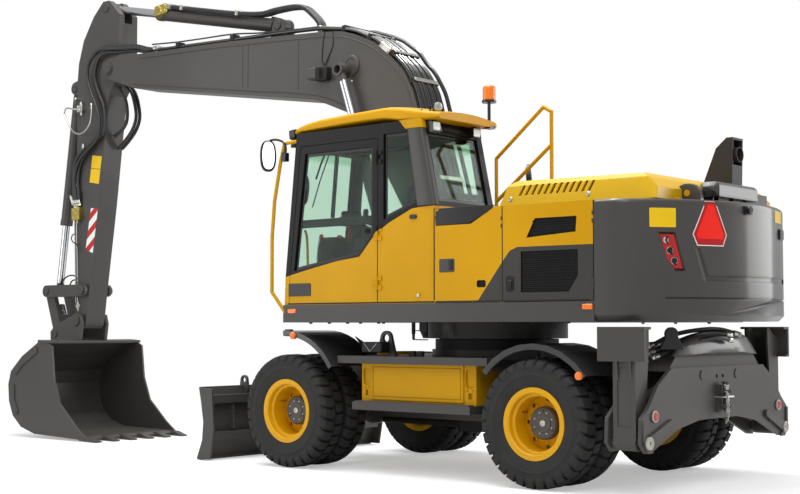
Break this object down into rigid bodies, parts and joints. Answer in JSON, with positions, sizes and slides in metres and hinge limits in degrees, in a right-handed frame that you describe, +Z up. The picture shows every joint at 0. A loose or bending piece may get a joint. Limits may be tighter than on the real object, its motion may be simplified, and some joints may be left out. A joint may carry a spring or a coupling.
{
  "type": "wheeled excavator",
  "caption": "Wheeled excavator with twin tyres, slewing cab, one-piece boom, arm, bucket on a linkage, dozer blade and folding rear stabilisers.",
  "frame": {"origin": "on the ground under the middle of the machine, with its boom as it stands", "axes": "+X ahead, towards the blade and bucket, +Y to the left side with the cab, +Z up"},
  "size_m": [9.5, 2.86, 5.23],
  "materials": {
    "tyre_rubber": "matt moulded rubber",
    "rim_yellow": "gloss enamel",
    "body_yellow": "gloss enamel",
    "chassis_grey": "satin enamel",
    "cab_grey": "satin enamel",
    "gloss_black": "gloss enamel",
    "ring_steel": "satin enamel",
    "engine_iron": "painted casting",
    "trim_black": "grained plastic",
    "rod_chrome": "ground and polished",
    "cab_glazing": "pale green tint",
    "seat_fabric": "woven",
    "lamp_amber": "clear moulded"
  },
  "bodies": {
    "chassis": {"chassis_frame": "chassis_grey", "slew_ring": "ring_steel", "side_boxes": "body_yellow", "side_steps": "chassis_grey", "fenders": "gloss_black", "driveline": "chassis_grey", "front_axle": "chassis_grey", "rear_axle": "chassis_grey", "stabiliser_carrier": "chassis_grey"},
    "upper": {"turntable": "chassis_grey", "counterweight": "chassis_grey", "engine": "engine_iron", "side_walls": "trim_black", "right_tank": "body_yellow", "hood_cowls": "body_yellow", "cab_frame": "cab_grey", "cab_roof": "body_yellow", "cab_glass": "cab_glazing", "seat": "seat_fabric", "controls": "trim_black", "handrails": "body_yellow", "exhaust": "gloss_black", "mirrors": "trim_black", "lamps": "lamp_amber"},
    "cab_door": {"cab_door": "body_yellow", "door_glass": "cab_glazing"},
    "wheel_front_left": {"tyres_front_left": "tyre_rubber", "rims_front_left": "rim_yellow"},
    "wheel_front_right": {"tyres_front_right": "tyre_rubber", "rims_front_right": "rim_yellow"},
    "wheel_rear_left": {"tyres_rear_left": "tyre_rubber", "rims_rear_left": "rim_yellow"},
    "wheel_rear_right": {"tyres_rear_right": "tyre_rubber", "rims_rear_right": "rim_yellow"},
    "knuckle_left": {"knuckle_left": "chassis_grey"},
    "knuckle_right": {"knuckle_right": "chassis_grey"},
    "stabiliser_left": {"stabiliser_left": "chassis_grey"},
    "stabiliser_right": {"stabiliser_right": "chassis_grey"},
    "boom_barrels": {"boom_barrels": "chassis_grey"},
    "boom_rods": {"boom_rods": "rod_chrome"},
    "arm_barrel": {"arm_barrel": "chassis_grey"},
    "arm_rod": {"arm_rod": "rod_chrome"},
    "bucket_barrel": {"bucket_barrel": "chassis_grey"},
    "bucket_rod": {"bucket_rod": "rod_chrome"},
    "blade_barrels": {"blade_barrels": "chassis_grey"},
    "blade_rods": {"blade_rods": "rod_chrome"},
    "stabiliser_barrel_left": {"stabiliser_barrel_left": "chassis_grey"},
    "stabiliser_rod_left": {"stabiliser_rod_left": "rod_chrome"},
    "stabiliser_barrel_right": {"stabiliser_barrel_right": "chassis_grey"},
    "stabiliser_rod_right": {"stabiliser_rod_right": "rod_chrome"},
    "blade": {"blade": "chassis_grey"},
    "side_door_left_front": {"side_door_left_front": "body_yellow"},
    "side_door_left_rear": {"side_door_left_rear": "body_yellow"},
    "side_door_right": {"side_door_right": "body_yellow"},
    "hood": {"hood": "body_yellow"},
    "boom": {"boom": "chassis_grey"},
    "arm": {"arm": "chassis_grey"},
    "rocker": {"rocker": "chassis_grey"},
    "push_link": {"push_link": "chassis_grey"},
    "bucket": {"bucket": "chassis_grey"}
  },
  "joints": [
    {"name": "steer_left", "type": "hinge", "parent": "chassis", "child": "knuckle_left", "pos_m": [-0.529, 0.56, 0.528], "axis": [0, 0, 1], "range_deg": [-25, 25]},
    {"name": "steer_right", "type": "hinge", "parent": "chassis", "child": "knuckle_right", "pos_m": [-0.529, -0.56, 0.528], "axis": [0, 0, 1], "range_deg": [-25, 25]},
    {"name": "wheel_front_left_spin", "type": "hinge", "parent": "knuckle_left", "child": "wheel_front_left", "pos_m": [-0.529, 1.13, 0.528], "axis": [0, 1, 0], "continuous": true},
    {"name": "wheel_front_right_spin", "type": "hinge", "parent": "knuckle_right", "child": "wheel_front_right", "pos_m": [-0.529, -1.13, 0.528], "axis": [0, 1, 0], "continuous": true},
    {"name": "wheel_rear_left_spin", "type": "hinge", "parent": "chassis", "child": "wheel_rear_left", "pos_m": [-3.325, 1.13, 0.528], "axis": [0, 1, 0], "continuous": true},
    {"name": "wheel_rear_right_spin", "type": "hinge", "parent": "chassis", "child": "wheel_rear_right", "pos_m": [-3.325, -1.13, 0.528], "axis": [0, 1, 0], "continuous": true},
    {"name": "slew", "type": "hinge", "parent": "chassis", "child": "upper", "pos_m": [-2.055, 0, 1.2], "axis": [0, 0, 1], "continuous": true},
    {"name": "blade_lift", "type": "hinge", "parent": "chassis", "child": "blade", "pos_m": [-0.065, 0, 0.47], "axis": [0, -1, 0], "range_deg": [-10, 25]},
    {"name": "blade_barrel_swing", "type": "hinge", "parent": "chassis", "child": "blade_barrels", "pos_m": [-0.095, 0, 0.9], "axis": [0, 1, 0], "range_deg": [-15.16, 6.06]},
    {"name": "blade_rod_slide", "type": "slide", "parent": "blade_barrels", "child": "blade_rods", "axis": [0.8127, 0, -0.5827], "range_m": [-0.15768, 0.06307]},
    {"name": "stabiliser_left_fold", "type": "hinge", "parent": "chassis", "child": "stabiliser_left", "pos_m": [-4.17, 1.187, 0.423], "axis": [-1, 0, 0], "range_deg": [0, 115]},
    {"name": "stabiliser_left_barrel_swing", "type": "hinge", "parent": "chassis", "child": "stabiliser_barrel_left", "pos_m": [-4.17, 0.3, 0.92], "axis": [-1, 0, 0], "range_deg": [0, 1.55]},
    {"name": "stabiliser_left_rod_slide", "type": "slide", "parent": "stabiliser_barrel_left", "child": "stabiliser_rod_left", "axis": [0, 0.9615, -0.2747], "range_m": [0, 0.5458]},
    {"name": "stabiliser_right_fold", "type": "hinge", "parent": "chassis", "child": "stabiliser_right", "pos_m": [-4.17, -1.187, 0.423], "axis": [1, 0, 0], "range_deg": [0, 115]},
    {"name": "stabiliser_right_barrel_swing", "type": "hinge", "parent": "chassis", "child": "stabiliser_barrel_right", "pos_m": [-4.17, -0.3, 0.92], "axis": [1, 0, 0], "range_deg": [0, 1.55]},
    {"name": "stabiliser_right_rod_slide", "type": "slide", "parent": "stabiliser_barrel_right", "child": "stabiliser_rod_right", "axis": [0, -0.9615, -0.2747], "range_m": [0, 0.5458]},
    {"name": "cab_door_swing", "type": "hinge", "parent": "upper", "child": "cab_door", "pos_m": [-1.66, 1.2634, 2.2], "axis": [0, 0, 1], "range_deg": [0, 155]},
    {"name": "left_front_door_swing", "type": "hinge", "parent": "upper", "child": "side_door_left_front", "pos_m": [-3.035, 1.27, 1.9], "axis": [0, 0, -1], "range_deg": [-90, 0]},
    {"name": "left_rear_door_swing", "type": "hinge", "parent": "upper", "child": "side_door_left_rear", "pos_m": [-3.915, 1.27, 1.9], "axis": [0, 0, 1], "range_deg": [0, 100]},
    {"name": "right_door_swing", "type": "hinge", "parent": "upper", "child": "side_door_right", "pos_m": [-3.915, -1.27, 1.9], "axis": [0, 0, -1], "range_deg": [0, 100]},
    {"name": "hood_lift", "type": "hinge", "parent": "upper", "child": "hood", "pos_m": [-4.3476, 0.37, 2.328], "axis": [0, -1, 0], "range_deg": [0, 45]},
    {"name": "boom_lift", "type": "hinge", "parent": "upper", "child": "boom", "pos_m": [-1.605, 0, 1.82], "axis": [0, -1, 0], "range_deg": [-55, 30]},
    {"name": "boom_barrel_swing", "type": "hinge", "parent": "upper", "child": "boom_barrels", "pos_m": [-1.125, 0, 1.62], "axis": [0, 1, 0], "range_deg": [-32.32, 59.24]},
    {"name": "boom_rod_slide", "type": "slide", "parent": "boom_barrels", "child": "boom_rods", "axis": [0.3274, 0, 0.9449], "range_m": [-0.47021, 0.25648]},
    {"name": "arm_swing", "type": "hinge", "parent": "boom", "child": "arm", "pos_m": [3.515, 0, 4.38], "axis": [0, 1, 0], "range_deg": [-55, 40]},
    {"name": "arm_barrel_swing", "type": "hinge", "parent": "boom", "child": "arm_barrel", "pos_m": [0.775, 0, 4.545], "axis": [0, 1, 0], "range_deg": [-2.27, 1.65]},
    {"name": "arm_rod_slide", "type": "slide", "parent": "arm_barrel", "child": "arm_rod", "axis": [0.9785, 0, 0.2063], "range_m": [-0.70787, 0.51481]},
    {"name": "bucket_curl", "type": "hinge", "parent": "arm", "child": "bucket", "pos_m": [4.055, 0, 1.38], "axis": [0, 1, 0], "range_deg": [-90, 65]},
    {"name": "bucket_barrel_swing", "type": "hinge", "parent": "arm", "child": "bucket_barrel", "pos_m": [4.315, 0, 4.25], "axis": [0, 1, 0], "range_deg": [-1.86, 2.57]},
    {"name": "bucket_rod_slide", "type": "slide", "parent": "bucket_barrel", "child": "bucket_rod", "axis": [0.1425, 0, -0.9898], "range_m": [-0.69906, 0.50488]},
    {"name": "rocker_swing", "type": "hinge", "parent": "arm", "child": "rocker", "pos_m": [3.975, 0, 1.75], "axis": [0, 1, 0], "range_deg": [-62.21, 44.93]},
    {"name": "push_link_swing", "type": "hinge", "parent": "rocker", "child": "push_link", "pos_m": [4.675, 0, 1.75], "axis": [0, 1, 0], "range_deg": [-30.71, 42.52]}
  ],
  "couplings": [
    {"joint": "steer_right", "follows": "steer_left", "ratio": 1},
    {"joint": "blade_barrel_swing", "follows": "blade_lift", "ratio": -0.59438},
    {"joint": "blade_rod_slide", "follows": "blade_lift", "m_per_rad": -0.35428},
    {"joint": "stabiliser_left_barrel_swing", "follows": "stabiliser_left_fold", "ratio": 0.01323},
    {"joint": "stabiliser_left_rod_slide", "follows": "stabiliser_left_fold", "m_per_rad": 0.2666},
    {"joint": "stabiliser_right_barrel_swing", "follows": "stabiliser_right_fold", "ratio": 0.01323},
    {"joint": "stabiliser_right_rod_slide", "follows": "stabiliser_right_fold", "m_per_rad": 0.2666},
    {"joint": "boom_barrel_swing", "follows": "boom_lift", "ratio": -1.0561},
    {"joint": "boom_rod_slide", "follows": "boom_lift", "m_per_rad": 0.48024},
    {"joint": "arm_barrel_swing", "follows": "arm_swing", "ratio": 0.04054},
    {"joint": "arm_rod_slide", "follows": "arm_swing", "m_per_rad": 0.72295},
    {"joint": "bucket_barrel_swing", "follows": "bucket_curl", "ratio": -0.02799},
    {"joint": "bucket_rod_slide", "follows": "bucket_curl", "m_per_rad": 0.43631},
    {"joint": "rocker_swing", "follows": "bucket_curl", "ratio": 0.67763},
    {"joint": "push_link_swing", "follows": "bucket_curl", "ratio": -0.46321}
  ]
}
